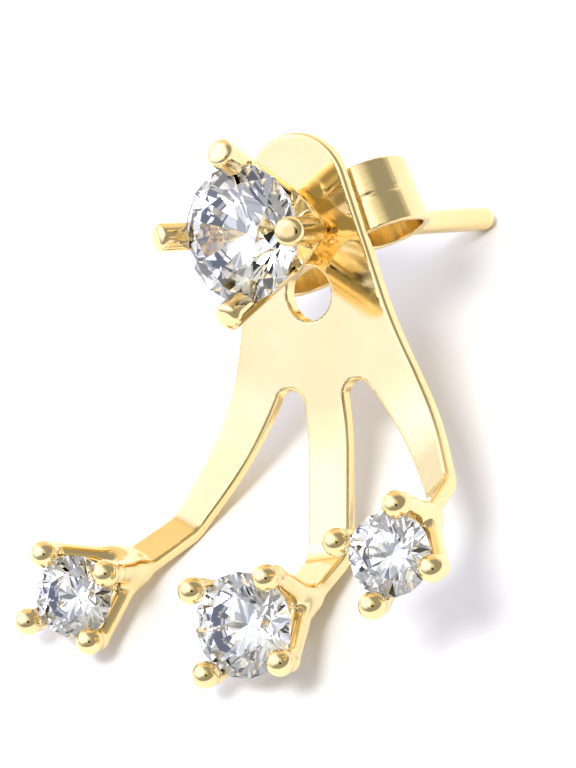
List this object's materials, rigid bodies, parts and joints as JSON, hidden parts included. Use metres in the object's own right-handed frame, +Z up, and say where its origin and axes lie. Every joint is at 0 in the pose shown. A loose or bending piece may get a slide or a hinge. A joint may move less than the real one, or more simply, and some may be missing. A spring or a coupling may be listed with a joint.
{
  "type": "ear jacket earring",
  "caption": "Stud with a round stone, worn through a slotted gold plate whose fingers bend forward to carry small claw-set stones, held by a scroll ear nut.",
  "frame": {"origin": "on the surface it lies on, under the middle of its bounding box", "axes": "+Z up from the surface, +Y towards the plate's top, +X across the plate to the right of someone facing the stones"},
  "size_m": [0.0178, 0.025, 0.0134],
  "materials": {
    "gold": "polished pale yellow gold plate",
    "gold_nut": "satin pale yellow gold plate",
    "crystal": "colourless cut stone"
  },
  "bodies": {
    "jacket_body": {"jacket": "gold", "middle_stone": "crystal", "right_stone": "crystal", "left_stone": "crystal"},
    "nut_body": {"ear_nut": "gold_nut"},
    "stud_body": {"stud": "gold", "main_stone": "crystal"}
  },
  "joints": [
    {"name": "head_swivel", "type": "hinge", "parent": "jacket_body", "child": "nut_body", "pos_m": [-0.00142, 0.00395, 0.00801], "axis": [-0.2283, -0.7104, 0.6657], "continuous": true},
    {"name": "stud_slide", "type": "slide", "parent": "nut_body", "child": "stud_body", "axis": [-0.2283, -0.7104, 0.6657], "range_m": [0, 0.0125]}
  ]
}
